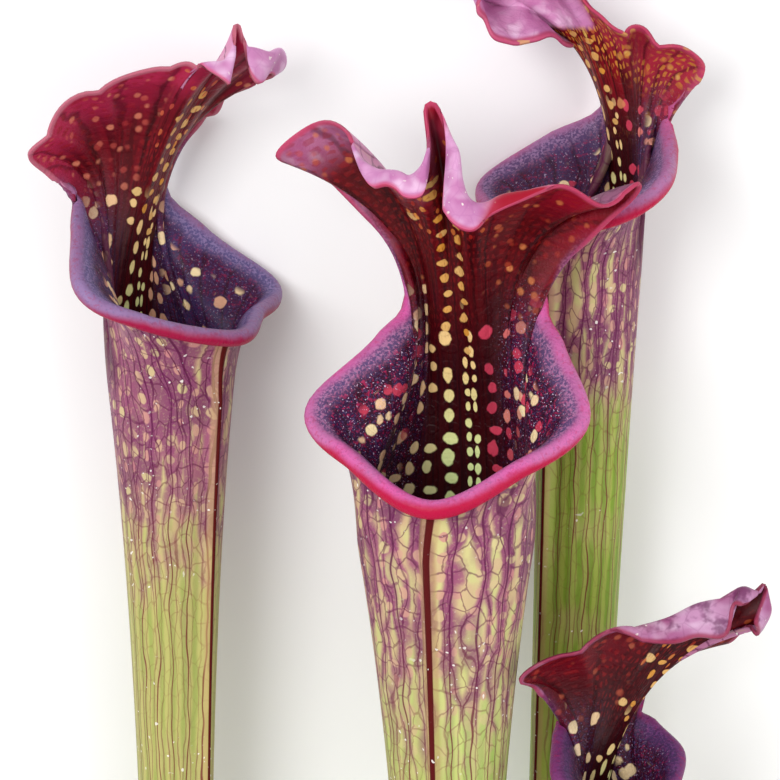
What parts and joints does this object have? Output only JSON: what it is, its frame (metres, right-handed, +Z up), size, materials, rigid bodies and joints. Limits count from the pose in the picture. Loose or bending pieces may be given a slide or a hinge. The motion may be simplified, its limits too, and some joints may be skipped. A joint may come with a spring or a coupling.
{
  "type": "pitcher plant",
  "caption": "Trumpet pitcher plant lying bare-root: hollow tapering pitchers with rolled lips and ruffled hoods, on one creeping rhizome with roots.",
  "frame": {"origin": "on the flat underside of the rhizome, at the plane the plant lies on, below the leaf bases", "axes": "+Y along the pitchers from the rhizome to the hoods, +Z up from the surface it lies on, mouths facing up; +X to the right as seen from above"},
  "size_m": [0.1449, 0.4059, 0.0499],
  "materials": {
    "pitcher_centre": "satin, dark crimson veins on yellow-green",
    "pitcher_left": "satin, dark crimson veins on yellow-green",
    "pitcher_right": "satin, dark crimson veins on green",
    "pitcher_small": "satin, dark crimson",
    "rhizome": "matt brown, roots darker"
  },
  "bodies": {
    "root": {"pitcher_centre": "pitcher_centre", "pitcher_left": "pitcher_left", "pitcher_right": "pitcher_right", "pitcher_small": "pitcher_small", "rhizome": "rhizome"}
  },
  "joints": []
}
